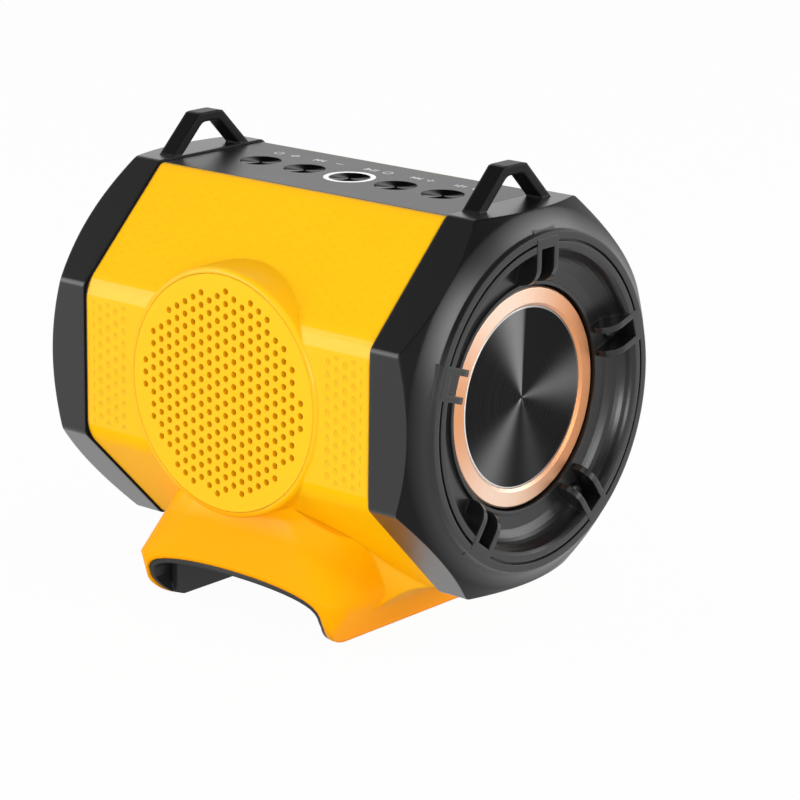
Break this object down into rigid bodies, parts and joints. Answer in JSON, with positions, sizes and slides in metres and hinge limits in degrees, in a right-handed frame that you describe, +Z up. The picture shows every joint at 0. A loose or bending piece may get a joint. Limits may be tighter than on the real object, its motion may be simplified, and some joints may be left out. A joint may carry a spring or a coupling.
{
  "type": "portable speaker",
  "caption": "Octagonal barrel speaker with black end caps, copper ringed bass radiators, strap loops, a key panel and a foot that slides onto a tool battery.",
  "frame": {"origin": "On the ground under the middle of the barrel.", "axes": "X runs along the barrel, -Y is the front with the grille, Z is up."},
  "size_m": [0.1668, 0.1254, 0.157],
  "materials": {
    "shell_yellow": "fine moulded satin",
    "cap_black": "fine moulded satin",
    "copper": "spun satin copper",
    "disc_black": "spun satin black",
    "rubber_black": "matt",
    "light_white": "diffuse white",
    "board_green": "solder mask",
    "steel": "zinc plated",
    "brass_gold": "plain",
    "cone_grey": "pressed paper",
    "spider_cloth": "treated cloth"
  },
  "bodies": {
    "speaker": {"barrel_shell": "shell_yellow", "driver_grille": "shell_yellow", "control_panel": "cap_black", "end_cap_left": "cap_black", "end_cap_right": "cap_black", "cap_seal_left": "rubber_black", "cap_seal_right": "rubber_black", "cap_screws": "steel", "radiator_surround_left": "rubber_black", "radiator_surround_right": "rubber_black", "play_light_ring": "light_white", "key_board": "board_green", "key_switches": "cap_black", "key_board_screws": "steel", "panel_screws": "steel", "driver_basket": "cap_black", "driver_magnet": "steel", "driver_surround": "rubber_black", "driver_spider": "spider_cloth", "driver_screws": "steel", "battery_dock": "cap_black", "dock_screws": "steel", "terminal_blades": "brass_gold", "main_board": "board_green", "board_parts": "cap_black", "board_screws": "steel"},
    "key_power": {"key_power": "disc_black"},
    "key_previous": {"key_previous": "disc_black"},
    "key_play": {"key_play": "disc_black"},
    "key_next": {"key_next": "disc_black"},
    "key_mode": {"key_mode": "disc_black"},
    "radiator_left": {"radiator_disc_left": "disc_black", "radiator_ring_left": "copper"},
    "radiator_right": {"radiator_disc_right": "disc_black", "radiator_ring_right": "copper"},
    "cone": {"driver_cone": "cone_grey", "driver_dust_cap": "disc_black", "driver_voice_coil": "brass_gold"}
  },
  "joints": [
    {"name": "key_power_press", "type": "slide", "parent": "speaker", "child": "key_power", "axis": [0, 0, -1], "range_m": [0, 0.0012], "stiffness_N_per_m": 600},
    {"name": "key_previous_press", "type": "slide", "parent": "speaker", "child": "key_previous", "axis": [0, 0, -1], "range_m": [0, 0.0012], "stiffness_N_per_m": 600},
    {"name": "key_play_press", "type": "slide", "parent": "speaker", "child": "key_play", "axis": [0, 0, -1], "range_m": [0, 0.0012], "stiffness_N_per_m": 600},
    {"name": "key_next_press", "type": "slide", "parent": "speaker", "child": "key_next", "axis": [0, 0, -1], "range_m": [0, 0.0012], "stiffness_N_per_m": 600},
    {"name": "key_mode_press", "type": "slide", "parent": "speaker", "child": "key_mode", "axis": [0, 0, -1], "range_m": [0, 0.0012], "stiffness_N_per_m": 600},
    {"name": "radiator_left_pump", "type": "slide", "parent": "speaker", "child": "radiator_left", "axis": [-1, 0, 0], "range_m": [-0.0025, 0.0025], "stiffness_N_per_m": 1500},
    {"name": "radiator_right_pump", "type": "slide", "parent": "speaker", "child": "radiator_right", "axis": [1, 0, 0], "range_m": [-0.0025, 0.0025], "stiffness_N_per_m": 1500},
    {"name": "cone_pump", "type": "slide", "parent": "speaker", "child": "cone", "axis": [0, -1, 0], "range_m": [-0.002, 0.002], "stiffness_N_per_m": 1500}
  ]
}
